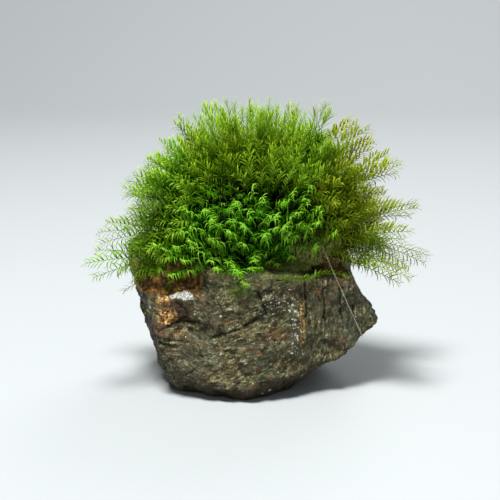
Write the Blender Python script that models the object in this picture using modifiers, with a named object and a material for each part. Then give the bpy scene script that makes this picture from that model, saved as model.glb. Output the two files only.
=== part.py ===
"""Feather moss on stone: a palm-sized block of bedded schist with a half-ball of moss shoots bound on its top.

Metres, +Z up. The origin is the middle of the flat sole that the stone rests on. -Y is the broken face with
the quartz ledge, and +X runs from the rusty end to the pointed one. Sizes below are in millimetres.
"""
import math
import random

import bmesh
import bpy
from mathutils import Matrix, Vector, noise
from mathutils.bvhtree import BVHTree
from mathutils.geometry import convex_hull_2d

MM = 0.001
GAP = 0.35              # clear space between pieces that touch

# Stone: each flat face is a point on it and the way that it faces
SLAB_FACES = {
    "sole": ((0, 0, -1.5), (0, 0, -1)),
    "front, right of the corner": ((14, -13.6, 16), (0.37, -0.92, 0.07)),
    "front, left of the corner": ((-12, -15.6, 12), (-0.20, -0.97, 0.10)),
    "rusty chamfer": ((-22.5, -12.8, 21), (-0.60, -0.78, 0.16)),
    "left end": ((-25.7, -6, 14), (-0.95, -0.16, -0.26)),
    "upper left bevel": ((-32.6, -2, 34.6), (-0.80, -0.10, 0.60)),
    "lower front bevel": ((-0.8, -16.8, 0.4), (0.42, -0.64, -0.64)),
    "lower left bevel": ((-18, -10.4, 2.2), (-0.34, -0.72, -0.60)),
    "raised underside": ((12.0, 0, 0), (0.615, -0.05, -0.785)),
    "right end, upper": ((30.4, -3, 25.0), (0.82, 0.10, 0.56)),
    "right end, back": ((28, 13, 18), (0.78, 0.60, -0.10)),
    "back, left": ((-12, 22.5, 18), (-0.28, 0.95, 0.06)),
    "back, right": ((14, 21, 18), (0.34, 0.93, -0.12)),
    "lower back bevel": ((-4, 19.5, 2.5), (-0.05, 0.72, -0.69)),
    "top": ((2, 0, 34.2), (0.085, -0.03, 0.99)),
}
TIER_FACES = {
    "hidden bottom": ((0, 0, 26), (0, 0, -1)),
    "front": ((14, -4.6, 37), (0.06, -0.99, 0.04)),
    "left": ((-13, 0, 38), (-0.90, -0.20, 0.40)),
    "right end": ((25.3, 0, 36), (0.99, -0.05, 0.10)),
    "top": ((8, 4, 44.4), (0.10, 0.04, 0.99)),
    "back": ((4, 16, 36), (0.08, 0.97, 0.22)),
}
# Hollow above the rusty chamfer, where a piece broke away and left the quartz ledge
RECESS_FACES = {
    "ledge": ((-20, -12, 27.4), (0.06, 0.12, -0.99)),
    "back wall": ((-22, -5.6, 32), (0.10, 0.99, -0.06)),
    "right wall": ((-11.0, -12, 31), (0.93, 0.28, 0.20)),
}
# Dark slot between the slab and the tier that is set back on it
SLOT_FACES = {
    "bottom": ((20, -4, 31.0), (0.09, 0, -0.99)),
    "top": ((20, -4, 33.6), (-0.09, -0.30, 0.95)),
    "inner wall": ((20, -0.8, 32), (0, 1, 0)),
    "left wall": ((4, -4, 32), (-0.92, 0.38, 0)),
}
RAW_BLOCK = 160         # the cube that each block is cut from
STONE_GRAIN = 1.1       # spacing of the points that carry the relief
STONE_TRIANGLES = 2300
# Relief of the broken faces: widths of its features and how far they stand out
LUMP_SIZE, LUMP_HEIGHT = 12.0, 1.5
CHIP_SIZE, CHIP_HEIGHT = 4.2, 0.8
BED_THICKNESS, BED_STEP = 5.2, 0.9
BED_DIP = -0.12         # how the beds fall towards the right end
BED_WAVE, BED_WAVE_SIZE = 2.4, 16.0
UPRIGHT_LEAN = 0.2      # how the beds of the pointed end lean from upright
UPRIGHT_WAVE, UPRIGHT_WAVE_SIZE = 1.2, 15.0
UPRIGHT_FROM, UPRIGHT_BLEND = 12, 8     # x where upright beds begin, and the width over which they take over
BREAK_SIZE, BREAK_SHARE = 9.0, 0.25     # patches where the bed steps are broken open
SPIKE_LIMIT = 1.4       # most that a sharp edge of a clearance stands out, over its flat faces

# Moss: how far the tips reach from the middle of the clump
CLUMP_MIDDLE = Vector((2.0, 2.0, 40.0))
REACH_RIGHT, REACH_LEFT, REACH_FRONT, REACH_BACK, REACH_TOP = 45.0, 42.0, 25.0, 31.0, 41.0
# The clump is shorter where the tier's front is bare: by how much, and from which x and z of a direction
BARE_DEPTH = 0.42
BARE_FROM, BARE_BLEND = -0.15, 0.35
BARE_TOP, BARE_FADE = 0.55, 0.5
MAT_SHARE = 0.68        # the dense mat fills this share of the reach
MAT_LUMP, MAT_LUMPS = 0.05, 5
SKIRT = ((0, 0, 36.0), (0.15, 0.0, -0.99))    # the clump's underside where it overhangs the stone
CUSHION_GRAIN = 0.55
CUSHION_TRIANGLES = 2100

TUFTS = 130             # places for short tufts all over the clump; long shoots and the stone take some
TUFT_COVER = 1.25       # share of the half-ball that the tufts cover, from the top down
LOWEST_TUFT = -0.12     # no tuft points steeper downwards than this
TUFT_LEAVES = 5
TUFT_RADIUS, TUFT_HEIGHT, TUFT_TIP = 3.1, 7.2, 0.3
TUFT_NOTCH = 0.45       # share of the radius that is left between two leaves
TUFT_DROOP = 1.8
TUFT_RISE = 0.3         # share of its height that a tuft's middle stands out of the mat
TUFT_SIZES = (0.85, 1.15)

# Long shoots that stand clear: elevations, turns towards the front, and how much further the lowest reach out
SHOOT_GROUPS = {
    "right": ((-9, 6, 20, 34, 48), (20, -14), 0.05),
    "left": ((-3, 14, 29, 45), (18, -16), 0.12),
    "crown": ((66, 86, 106), (14, -19), 0.0),
}
REAR_LIFT = 5           # degrees that the shoots turned to the back stand higher
LOW_FROM, LOW_BLEND = 0.2, 0.35
BACK_SHOOTS = ((18, -65), (22, -90), (18, -115))
SHOOT_LENGTHS = (0.99, 1.05)            # share of the reach, from shoot to shoot
SHOOT_ROOT = 0.05       # share of the reach by which a shoot's foot lies below the mat's skin
SHOOT_DROOP = 0.14
SHOOT_WIDTH, SHOOT_THICKNESS = 3.3, 0.75
SHOOT_TEETH = 5
SHOOT_NOTCH, STEM_HALF = 0.30, 0.35     # what is left of the half-width between two leaves
SHOOT_TAPER = (0.32, 0.62, 0.8)         # start and run along half a sine wave, and its power
LEAF_SWEEP = 1.6        # how far a leaf's tip lies ahead of where it leaves the stem
LEAF_HANG = 0.25        # how far its tip hangs, as a share of its length
SHOOT_ROOM = 5.5        # degrees that a long shoot keeps free of tufts round its foot

CREEPER = ((5.0, 33.6), (27.0, 31.2))     # x and z of the ends of the shoot on the slab's front edge
CREEPER_WIDTH = 1.5
CREEPER_OFF = Vector((0, -1.0, 0.4))      # from the stone's skin to its stem
CREEPER_STEPS = 8

THREAD_RADIUS = 0.12
THREAD_LIFT = 0.6       # from the stone to the middle of the thread
THREAD_STEP = 0.8       # closest that two corners of the thread lie
THREAD_PLANE = ((22.5, -5, 32), (0.91, 0.02, 0.41))


def clear_scene():
    for obj in list(bpy.data.objects):
        bpy.data.objects.remove(obj, do_unlink=True)


def collection(name):
    made = bpy.data.collections.new(name)
    bpy.context.scene.collection.children.link(made)
    return made


def material(name, colour, roughness):
    made = bpy.data.materials.new(name)
    made.use_nodes = True
    shader = made.node_tree.nodes["Principled BSDF"]
    shader.inputs["Base Color"].default_value = (*colour, 1.0)
    shader.inputs["Roughness"].default_value = roughness
    made.diffuse_color = (*colour, 1.0)
    return made


def add_object(name, mesh, group, finish=None):
    obj = bpy.data.objects.new(name, mesh)
    group.objects.link(obj)
    if finish:
        obj.data.materials.clear()
        obj.data.materials.append(finish)
    return obj


def mesh_of(name, bm):
    bmesh.ops.recalc_face_normals(bm, faces=bm.faces[:])
    mesh = bpy.data.meshes.new(name)
    bm.to_mesh(mesh)
    bm.free()
    return mesh


def settle(obj):
    """Turns the object's modifiers into its mesh."""
    bpy.context.view_layer.update()
    graph = bpy.context.evaluated_depsgraph_get()
    mesh = bpy.data.meshes.new_from_object(obj.evaluated_get(graph))
    obj.modifiers.clear()
    obj.data = mesh


def combine(obj, other, operation, crossing=False):
    """Boolean of two solids; crossing is for an other whose own parts cross each other."""
    step = obj.modifiers.new(operation.title(), "BOOLEAN")
    step.operation = operation
    step.solver = "EXACT"
    step.use_self = crossing
    step.object = other


def hide_as_cutter(obj):
    obj.hide_render = True
    obj.display_type = "WIRE"


def largest_body(obj):
    """Drops the crumbs that a cut leaves beside the main body."""
    bm = bmesh.new()
    bm.from_mesh(obj.data)
    left = set(bm.verts)
    bodies = []
    while left:
        stack = [left.pop()]
        body = set(stack)
        while stack:
            for edge in stack.pop().link_edges:
                for vert in edge.verts:
                    if vert in left:
                        left.discard(vert)
                        body.add(vert)
                        stack.append(vert)
        bodies.append(body)
    bodies.sort(key=len)
    for body in bodies[:-1]:
        bmesh.ops.delete(bm, geom=list(body), context="VERTS")
    bm.to_mesh(obj.data)
    bm.free()


def fit_round(obj, clearances):
    """Cuts a piece back to where it stands clear of its neighbours."""
    for clearance in clearances:
        combine(obj, clearance, "DIFFERENCE")
        settle(obj)
    largest_body(obj)


def grown(obj, by, group):
    """A copy of a solid that stands out from it by a set distance all round."""
    bm = bmesh.new()
    bm.from_mesh(obj.data)
    bmesh.ops.triangulate(bm, faces=bm.faces[:])
    bm.normal_update()
    moves = [vert.normal * min(SPIKE_LIMIT, vert.calc_shell_factor()) * by * MM for vert in bm.verts]
    for vert, move in zip(bm.verts, moves):
        vert.co += move
    copy = add_object(obj.name + "_clearance", mesh_of(obj.name + "_clearance", bm), group)
    hide_as_cutter(copy)
    return copy


def cut_block(name, faces, group):
    """A large cube cut back to the flat faces; a hollow's faces look out of it in the same way."""
    bm = bmesh.new()
    bmesh.ops.create_cube(bm, size=RAW_BLOCK * MM)
    for point, facing in faces.values():
        cut = bmesh.ops.bisect_plane(bm, geom=bm.verts[:] + bm.edges[:] + bm.faces[:], dist=1e-6,
                                     plane_co=Vector(point) * MM, plane_no=Vector(facing), clear_outer=True)
        rim = [item for item in cut["geom_cut"] if isinstance(item, bmesh.types.BMEdge)]
        bmesh.ops.contextual_create(bm, geom=rim)
    return add_object(name, mesh_of(name, bm), group)


def relief(place, facing):
    """How far the broken surface stands out at a place: lumps, chips, and the edges of the beds."""
    lumps = noise.noise(place / LUMP_SIZE) * LUMP_HEIGHT
    chips = noise.noise(place / CHIP_SIZE + Vector((7, 3, 5))) * CHIP_HEIGHT
    along = place.z + BED_DIP * place.x + BED_WAVE * noise.noise(place / BED_WAVE_SIZE)
    wave = UPRIGHT_WAVE * noise.noise(place / UPRIGHT_WAVE_SIZE + Vector((2, 9, 4)))
    upright = place.x + UPRIGHT_LEAN * place.z + wave
    right_part = min(1.0, max(0.0, (place.x - UPRIGHT_FROM) / UPRIGHT_BLEND))
    bed = (1 - right_part) * ((along / BED_THICKNESS) % 1.0) + right_part * ((upright / BED_THICKNESS) % 1.0)
    broken = max(0.0, noise.noise(place / BREAK_SIZE + Vector((4, 1, 8))) + BREAK_SHARE)
    steepness = 1 - abs(facing.z)
    return lumps + chips + (bed - 0.5) * BED_STEP * broken * steepness


def stone(group, cutters, finish):
    rock = cut_block("stone", SLAB_FACES, group)
    rock.data.materials.append(finish)
    for name, faces, operation in (("tier", TIER_FACES, "UNION"), ("recess", RECESS_FACES, "DIFFERENCE"),
                                   ("slot", SLOT_FACES, "DIFFERENCE")):
        other = cut_block(name, faces, cutters)
        hide_as_cutter(other)
        combine(rock, other, operation)
    remesh = rock.modifiers.new("Grain", "REMESH")
    remesh.mode = "VOXEL"
    remesh.voxel_size = STONE_GRAIN * MM
    settle(rock)

    bm = bmesh.new()
    bm.from_mesh(rock.data)
    bm.normal_update()
    moves = [vert.normal * relief(vert.co / MM, vert.normal) * MM for vert in bm.verts]
    for vert, move in zip(bm.verts, moves):
        vert.co += move
    bmesh.ops.triangulate(bm, faces=bm.faces[:])
    bm.to_mesh(rock.data)
    full = len(bm.faces)
    bm.free()

    thin = rock.modifiers.new("Facets", "DECIMATE")
    thin.ratio = STONE_TRIANGLES / full
    settle(rock)

    # The sole is dead flat, so that the stone stands on it
    bm = bmesh.new()
    bm.from_mesh(rock.data)
    cut = bmesh.ops.bisect_plane(bm, geom=bm.verts[:] + bm.edges[:] + bm.faces[:], dist=1e-6,
                                 plane_co=(0, 0, 0), plane_no=(0, 0, -1), clear_outer=True)
    rim = [item for item in cut["geom_cut"] if isinstance(item, bmesh.types.BMEdge)]
    bmesh.ops.contextual_create(bm, geom=rim)
    rock.data = mesh_of("stone", bm)
    rock.data.materials.append(finish)
    largest_body(rock)
    return rock


def reach(way):
    """How far the moss tips stand from the clump's middle in one direction."""
    side = REACH_RIGHT if way.x > 0 else REACH_LEFT
    depth = REACH_BACK if way.y > 0 else REACH_FRONT
    whole = 1 / math.sqrt((way.x / side) ** 2 + (way.y / depth) ** 2 + (way.z / REACH_TOP) ** 2)
    towards_front = max(0.0, -way.y)
    over_tier = min(1.0, max(0.0, (way.x - BARE_FROM) / BARE_BLEND))
    low = min(1.0, max(0.0, (BARE_TOP - way.z) / BARE_FADE))
    return whole * (1 - BARE_DEPTH * towards_front * over_tier * low)


def turned_to(way):
    """Rotation that takes +Z to the given direction."""
    return Vector((0, 0, 1)).rotation_difference(way).to_matrix().to_4x4()


def shoot_plan():
    """Name, direction, reach and broad side of every long shoot."""
    rng = random.Random(23)
    plan = []
    for where, (elevations, turns, stretch) in SHOOT_GROUPS.items():
        number = 0
        for elevation in elevations:
            for turn in turns:
                number += 1
                up = math.radians(elevation + (REAR_LIFT if turn < 0 else 0))
                out = math.radians(turn)
                level = -math.cos(up) if where == "left" else math.cos(up)
                if where == "crown":
                    way = Vector((level, -math.sin(out), math.sin(up))).normalized()
                else:
                    way = Vector((level * math.cos(out), -abs(level) * math.sin(out), math.sin(up)))
                low = max(0.0, LOW_FROM - way.z) / LOW_BLEND
                full = reach(way) * (1 + stretch * low) * rng.uniform(*SHOOT_LENGTHS)
                plan.append((f"shoot_{where}_{number:02d}", way, full, Vector((way.z, 0, -way.x))))
    for number, (elevation, turn) in enumerate(BACK_SHOOTS, 1):
        up, out = math.radians(elevation), math.radians(turn)
        way = Vector((math.cos(up) * math.cos(out), -math.cos(up) * math.sin(out), math.sin(up)))
        full = reach(way) * rng.uniform(*SHOOT_LENGTHS)
        plan.append((f"shoot_back_{number:02d}", way, full, Vector((1, 0, 0))))
    return plan


def mat():
    """The dense middle of the clump, before its tufts are joined to it."""
    bm = bmesh.new()
    bmesh.ops.create_icosphere(bm, subdivisions=3, radius=1)
    for vert in bm.verts:
        way = vert.co.normalized()
        lump = 1 + MAT_LUMP * noise.noise(way * MAT_LUMPS)
        vert.co = (CLUMP_MIDDLE + way * reach(way) * MAT_SHARE * lump) * MM
    cut = bmesh.ops.bisect_plane(bm, geom=bm.verts[:] + bm.edges[:] + bm.faces[:], dist=1e-6,
                                 plane_co=Vector(SKIRT[0]) * MM, plane_no=Vector(SKIRT[1]), clear_outer=True)
    rim = [item for item in cut["geom_cut"] if isinstance(item, bmesh.types.BMEdge)]
    bmesh.ops.contextual_create(bm, geom=rim)
    return bm


def add_tufts(bm, plan):
    """Short drooping tufts set over the clump in a spiral, each a star of leaves that meet at its tip."""
    rng = random.Random(11)
    turn = math.pi * (3 - math.sqrt(5))
    for number in range(TUFTS):
        height = 1 - (number + 0.5) / TUFTS * TUFT_COVER
        across = math.sqrt(1 - height * height)
        way = Vector((across * math.cos(number * turn), across * math.sin(number * turn), height))
        size = rng.uniform(*TUFT_SIZES)
        spin = rng.uniform(0, math.tau)
        crowded = any(way.angle(other) < math.radians(SHOOT_ROOM) for _, other, _, _ in plan)
        if way.z < LOWEST_TUFT or crowded:
            continue
        made = bmesh.ops.create_cone(bm, cap_ends=True, segments=2 * TUFT_LEAVES, depth=TUFT_HEIGHT * size * MM,
                                     radius1=TUFT_RADIUS * size * MM, radius2=TUFT_TIP * MM)
        foot = CLUMP_MIDDLE + way * (reach(way) * MAT_SHARE + TUFT_RISE * TUFT_HEIGHT)
        place = Matrix.Translation(foot * MM) @ turned_to(way) @ Matrix.Rotation(spin, 4, "Z")
        for vert in made["verts"]:
            low = vert.co.z < 0
            angle = math.atan2(vert.co.y, vert.co.x) % math.tau
            if low and round(angle / math.pi * TUFT_LEAVES) % 2:
                vert.co.x *= TUFT_NOTCH
                vert.co.y *= TUFT_NOTCH
            vert.co = place @ vert.co
            if not low:
                vert.co.z -= TUFT_DROOP * MM


def moss_cushion(plan, rock_clearance, thread_clearance, group, finish):
    bm = mat()
    add_tufts(bm, plan)
    cushion = add_object("moss_cushion", mesh_of("moss_cushion", bm), group, finish)
    remesh = cushion.modifiers.new("Grain", "REMESH")
    remesh.mode = "VOXEL"
    remesh.voxel_size = CUSHION_GRAIN * MM
    settle(cushion)
    thin = cushion.modifiers.new("Facets", "DECIMATE")
    thin.ratio = CUSHION_TRIANGLES / (2 * len(cushion.data.polygons))
    settle(cushion)
    fit_round(cushion, (rock_clearance, thread_clearance))
    return cushion


def shoot(name, line, broad, width, group, finish):
    """A feathery shoot: a thin blade along a curved stem, its two edges cut into forward-swept leaves.

    line(t) is the stem from t=0 to t=1, and broad is the direction across the blade.
    """
    start, run, power = SHOOT_TAPER
    bm = bmesh.new()
    rows = 2 * SHOOT_TEETH
    bmesh.ops.create_grid(bm, x_segments=2, y_segments=rows, size=0.5)
    for vert in bm.verts:
        t = vert.co.y + 0.5
        side = round(vert.co.x * 2)
        row = round(t * rows)
        along = (line(min(1, t + 0.05)) - line(max(0, t - 0.05))).normalized()
        across = (broad - along * broad.dot(along)).normalized()
        leaf = 1.0 if row % 2 else SHOOT_NOTCH
        half = max(STEM_HALF, width * leaf * math.sin(math.pi * (start + run * t)) ** power)
        sweep = LEAF_SWEEP * (1 - t) if row % 2 else 0.0
        edge = across * side * half + abs(side) * (along * sweep - Vector((0, 0, LEAF_HANG * half)))
        vert.co = (line(t) + edge) * MM
    blade = add_object(name, mesh_of(name, bm), group, finish)
    shell = blade.modifiers.new("Blade", "SOLIDIFY")
    shell.thickness = SHOOT_THICKNESS * MM
    shell.offset = 0
    settle(blade)
    return blade


def bowed(start, way, length, droop):
    """A stem that leaves start along way and is bent down towards its tip."""
    def line(t):
        return start + way * length * t - Vector((0, 0, droop * length * t * t))
    return line


def long_shoots(plan, clearances, group, finish):
    for name, way, full, broad in plan:
        foot = (MAT_SHARE - SHOOT_ROOT) * reach(way)
        line = bowed(CLUMP_MIDDLE + way * foot, way, full - foot, SHOOT_DROOP)
        blade = shoot(name, line, broad, SHOOT_WIDTH, group, finish)
        fit_round(blade, clearances)


def creeping_shoot(rock, clearances, group, finish):
    """The one shoot that lies along the slab's front edge, its leaves hanging below it."""
    bm = bmesh.new()
    bm.from_mesh(rock.data)
    surface = BVHTree.FromBMesh(bm)
    bm.free()
    (x_from, z_from), (x_to, z_to) = CREEPER
    last = CREEPER_STEPS

    def on_stone(t):
        x, z = x_from + (x_to - x_from) * t, z_from + (z_to - z_from) * t
        hit, _, _, _ = surface.ray_cast(Vector((x, -RAW_BLOCK, z)) * MM, Vector((0, 1, 0)))
        return hit / MM + CREEPER_OFF
    stem = [on_stone(number / last) for number in range(last + 1)]
    smooth = [(stem[max(0, i - 1)] + stem[i] * 2 + stem[min(last, i + 1)]) / 4 for i in range(last + 1)]

    def line(t):
        step = min(last - 1, int(t * last))
        return smooth[step].lerp(smooth[step + 1], t * last - step)
    blade = shoot("creeping_shoot", line, Vector((0, 0, 1)), CREEPER_WIDTH, group, finish)
    fit_round(blade, clearances)


def taut_loop(rock, lift):
    """Points of a thread pulled tight round the stone in one plane, held off it by lift."""
    point, facing = Vector(THREAD_PLANE[0]) * MM, Vector(THREAD_PLANE[1]).normalized()
    right = Vector((0, 1, 0)).cross(facing).normalized()
    up = facing.cross(right)
    bm = bmesh.new()
    bm.from_mesh(rock.data)
    cut = bmesh.ops.bisect_plane(bm, geom=bm.verts[:] + bm.edges[:] + bm.faces[:], dist=1e-6,
                                 plane_co=point, plane_no=facing)
    flat = [Vector(((item.co - point).dot(right), (item.co - point).dot(up)))
            for item in cut["geom_cut"] if isinstance(item, bmesh.types.BMVert)]
    bm.free()
    hull = [flat[index] for index in convex_hull_2d(flat)]
    corners = [spot for index, spot in enumerate(hull) if (spot - hull[index - 1]).length > THREAD_STEP * MM]
    loop = []
    for index, spot in enumerate(corners):
        before = (spot - corners[index - 1]).normalized()
        after = (corners[(index + 1) % len(corners)] - spot).normalized()
        out = Vector((before.y + after.y, -before.x - after.x)).normalized()
        half_turn = math.sqrt((1 + before.dot(after)) / 2)
        loop.append(spot + out * lift * MM / half_turn)
    return [point + right * spot.x + up * spot.y for spot in loop]


def thread_tube(name, points, radius, group, finish=None):
    curve = bpy.data.curves.new(name, "CURVE")
    curve.dimensions = "3D"
    curve.bevel_depth = radius * MM
    curve.bevel_resolution = 2
    spline = curve.splines.new("POLY")
    spline.points.add(len(points) - 1)
    for spot, place in zip(spline.points, points):
        spot.co = (*place, 1)
    spline.use_cyclic_u = True
    guide = bpy.data.objects.new(name + "_guide", curve)
    group.objects.link(guide)
    bpy.context.view_layer.update()
    graph = bpy.context.evaluated_depsgraph_get()
    mesh = bpy.data.meshes.new_from_object(guide.evaluated_get(graph))
    bpy.data.objects.remove(guide, do_unlink=True)
    tube = add_object(name, mesh, group, finish)
    bm = bmesh.new()
    bm.from_mesh(mesh)
    bmesh.ops.remove_doubles(bm, verts=bm.verts[:], dist=1e-6)
    bmesh.ops.recalc_face_normals(bm, faces=bm.faces[:])
    bm.to_mesh(mesh)
    bm.free()
    return tube


clear_scene()
parts = collection("feather_moss_on_stone")
cutters = collection("cutters")

schist = material("schist", (0.115, 0.100, 0.055), 0.75)
moss = material("moss", (0.090, 0.190, 0.022), 0.55)
nylon = material("thread", (0.62, 0.58, 0.45), 0.35)

rock = stone(parts, cutters, schist)
rock_clearance = grown(rock, GAP, cutters)
loop = taut_loop(rock, THREAD_LIFT)
thread_tube("binding_thread", loop, THREAD_RADIUS, parts, nylon)
thread_clearance = thread_tube("thread_clearance", loop, THREAD_RADIUS + GAP, cutters)
hide_as_cutter(thread_clearance)

plan = shoot_plan()
cushion = moss_cushion(plan, rock_clearance, thread_clearance, parts, moss)
cushion_clearance = grown(cushion, GAP, cutters)
clearances = (cushion_clearance, rock_clearance, thread_clearance)
long_shoots(plan, clearances, parts, moss)
creeping_shoot(rock, clearances, parts, moss)
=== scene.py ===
"""Feather moss on stone, dressed: a block of bedded schist with a half-ball of moss shoots bound on top.

Metres, +Z up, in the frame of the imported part. Lengths at the top are in millimetres.
"""
import math
import random
from functools import partial

import bmesh
import bpy
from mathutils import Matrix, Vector, noise
from mathutils.bvhtree import BVHTree


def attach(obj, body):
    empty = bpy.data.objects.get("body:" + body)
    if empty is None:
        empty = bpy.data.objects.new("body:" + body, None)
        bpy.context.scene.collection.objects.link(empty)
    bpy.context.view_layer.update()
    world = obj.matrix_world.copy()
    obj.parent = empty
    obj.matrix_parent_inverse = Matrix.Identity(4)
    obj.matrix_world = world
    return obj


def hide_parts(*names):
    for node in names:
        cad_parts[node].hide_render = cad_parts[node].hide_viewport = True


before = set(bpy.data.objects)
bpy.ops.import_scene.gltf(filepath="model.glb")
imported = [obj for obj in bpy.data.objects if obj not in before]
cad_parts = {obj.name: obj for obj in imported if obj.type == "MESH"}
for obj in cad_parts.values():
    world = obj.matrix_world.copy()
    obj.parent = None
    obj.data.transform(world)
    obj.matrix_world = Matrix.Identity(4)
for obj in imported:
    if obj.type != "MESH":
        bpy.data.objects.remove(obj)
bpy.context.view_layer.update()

MM = 0.001
UP, BACKWARDS = Vector((0, 0, 1)), Vector((0, 1, 0))
WELD = 1e-6             # metres
NOISE_SEED = 4
noise.seed_set(NOISE_SEED)      # or the stone's relief would follow the clock

# The clump, as in the solids: how far the tips reach from its middle. A way is a direction from there.
CLUMP_MIDDLE = Vector((2.0, 2.0, 40.0))
REACH_RIGHT, REACH_LEFT, REACH_FRONT, REACH_BACK, REACH_TOP = 45.0, 42.0, 25.0, 31.0, 41.0
# In front of the stone's tier they reach less: how much, and between which x and z of a way
BARE_DEPTH, BARE_RIGHT, BARE_LOW = 0.42, (-0.15, 0.20), (0.55, 0.05)
LOWEST_WAY = -0.26      # no shoot leaves the clump steeper downwards than this
# The front and back start this far out, the crown this far up, and it ends this far to the front
FRONT_FROM, CROWN_FROM, CROWN_TO_FRONT = 0.52, 0.72, -0.60
# Share of that reach which most tips fill, by degrees up and over from the right end
TIP_SHARES = ((-90, 0.90), (-12, 0.90), (8, 0.86), (20, 0.85), (50, 0.86), (64, 0.87), (76, 0.86),
              (97, 0.87), (108, 0.91), (124, 0.88), (150, 0.90), (166, 0.87), (182, 0.88), (192, 0.95),
              (270, 0.92))
# How uneven the tips are from tuft to tuft, and how close the tufts stand
TUFT_UNEVENNESS, TUFT_CLOSENESS, TUFT_SHIFT = 0.09, 4.2, Vector((7, 3, 1))
# The hollow between the crown and the front's bulge: its width, how much lower it is, and how much painted
# shade darkens its shoots
HOLLOW_WAY = Vector((-0.42, -0.50, 0.76))
HOLLOW_WIDTH, HOLLOW_DEPTH, HOLLOW_PAINTED_SHADE = 0.26, 0.30, 0.34
# Places that no tip covers, as two corners: the tier's face, the slab's edge, below the right end
BARE_PLACES = (((12.5, -40.0, 20.0), (27.0, -3.0, 40.8)), ((-5.0, -40.0, 20.0), (60.0, -10.0, 32.5)),
               ((-60.0, -40.0, 20.0), (-5.0, -10.0, 34.5)), ((27.0, -40.0, 0.0), (60.0, 40.0, 32.5)))
# The mat of old stems: its share of the reach, and the height and closeness of its lumps
MAT_SHARE, MAT_LUMPS = 0.50, ((0.08, 6), (0.10, 17))
MAT_NARROW, MAT_NARROW_FROM = 0.9, -0.1     # smaller in front of the tier, right of this
MAT_STEP = Vector((3.0, -3.0, 44.0))        # above the tier's top, right of and in front of this
MAT_FLOOR, MAT_FLOOR_FACING = Vector((0.0, 0.0, 36.0)), Vector((0.15, 0.0, -0.99))

# Shoots
GOLDEN_ANGLE = math.pi * (3 - math.sqrt(5))
SHOOT_SEED, OLD_SEED, LONG_SEED, LEAF_SEED, CREEPER_SEED = 5, 9, 3, 101, 131
SHOOT_PLACES = 9000     # tried for a shoot, all over the ball
SHOOT_SPACING = {"front": 3.6, "crown": 2.15, "left": 2.4, "right": 2.8, "back": 3.0}
SPACING_CELL = 4        # wider than any of these
SHOOT_LENGTHS, SHOOT_SIZES = (0.88, 1.02), (0.85, 1.12)     # shares of the usual
STEM_FOOT = 0.45        # share of the reach where a stem leaves the mat
STEM_POINTS = 12
ROOTED_POINTS = 4       # those that may lie in the stone
DRAPE_DEPTH, DRAPE_HEIGHT = 3.0, 0.6    # up to this deep in it, the others are laid this high over it
STEM_RADIUS = {"front": 0.11, "crown": 0.12, "left": 0.14, "right": 0.16, "back": 0.11, "creeping": 0.24}
STEM_TIP = 0.35         # share of that radius at the tip
STEM_SIDES, STEM_STEP = 3, 1.6
STEM_DARK = 0.30        # how much darker than the leaves beside it a stem is
STEM_DROOP, DROOP_SHARES = 0.16, (0.5, 1.3)
# How far stems stray sideways, and turn, in radians
SWAY = {"front": 0.09, "crown": 0.05, "left": 0.07, "right": 0.07, "back": 0.09}
ROLL = {"front": 0.45, "crown": 0.25, "left": 0.30, "right": 0.30, "back": 0.45}
SQUARE_ON = 0.6         # how far a tip turns from straight out to square on the clump's face
TIP_RISE = {"front": 0.9, "crown": 0.25}    # how far the tips turn up to the light
# How much paler a region's leaves are, how far that strays, and how much painted shade darkens the lowest
# shoots
TONE = {"front": 0.18, "crown": 0.22, "left": 0.18, "right": 0.30, "back": 0.0}
TONE_STRAY, LOW_PAINTED_SHADE, LOW_WAYS = 0.10, 0.14, (0.25, -0.15)
# Short dark shoots under the others: the places tried, and how high over the stone they stay
OLD_PLACES, OLD_HEIGHT = 1256, 0.4
OLD_LENGTHS, OLD_SIZES, OLD_TONE = (0.62, 0.76), (0.8, 1.1), (-0.36, 0.06)
OLD_SWAY, OLD_ROLL, OLD_DROOP = 0.2, 0.6, 0.1
# Fronds along each long solid: how far they turn and lift, and their reach
SPRAY = ((0.0, 0.0, 1.0), (0.15, 0.18, 0.92), (-0.15, -0.12, 0.87))
LONG_FOOT = 6           # how many of its vertices lie round its foot
LONG_RISE, LONG_ROLL, LONG_TONE, LONG_SIZES = 0.07, 0.25, 0.06, (1.0, 1.15)
# How far their tips stand to the right of and above their solids', where these are too regular
LONG_TIPS = {
    "left_01": (-4.6, 1.0), "left_02": (-2.4, -0.8), "left_06": (3.0, -1.4), "left_07": (3.4, 0.4),
    "left_08": (4.8, 1.0), "crown_05": (2.8, 2.4), "crown_04": (0.0, -3.2), "crown_03": (0.0, -1.4),
    "crown_02": (-2.4, 0.4), "crown_01": (1.4, 3.6), "right_10": (1.6, -1.6), "right_09": (3.0, 2.6),
    "right_07": (1.0, 4.0), "right_06": (1.0, 1.8), "right_05": (2.4, 0.8), "right_04": (3.2, -0.4),
    "right_03": (4.8, 2.8), "right_02": (1.4, -4.6), "right_01": (5.0, 0.4),
}
# The creeping shoot, and how far it lies out of the middle of its solid
CREEPER_LIFT, CREEPER_TONE, CREEPER_SIZE = Vector((0.0, -0.5, 0.3)), 0.12, 0.75

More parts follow.
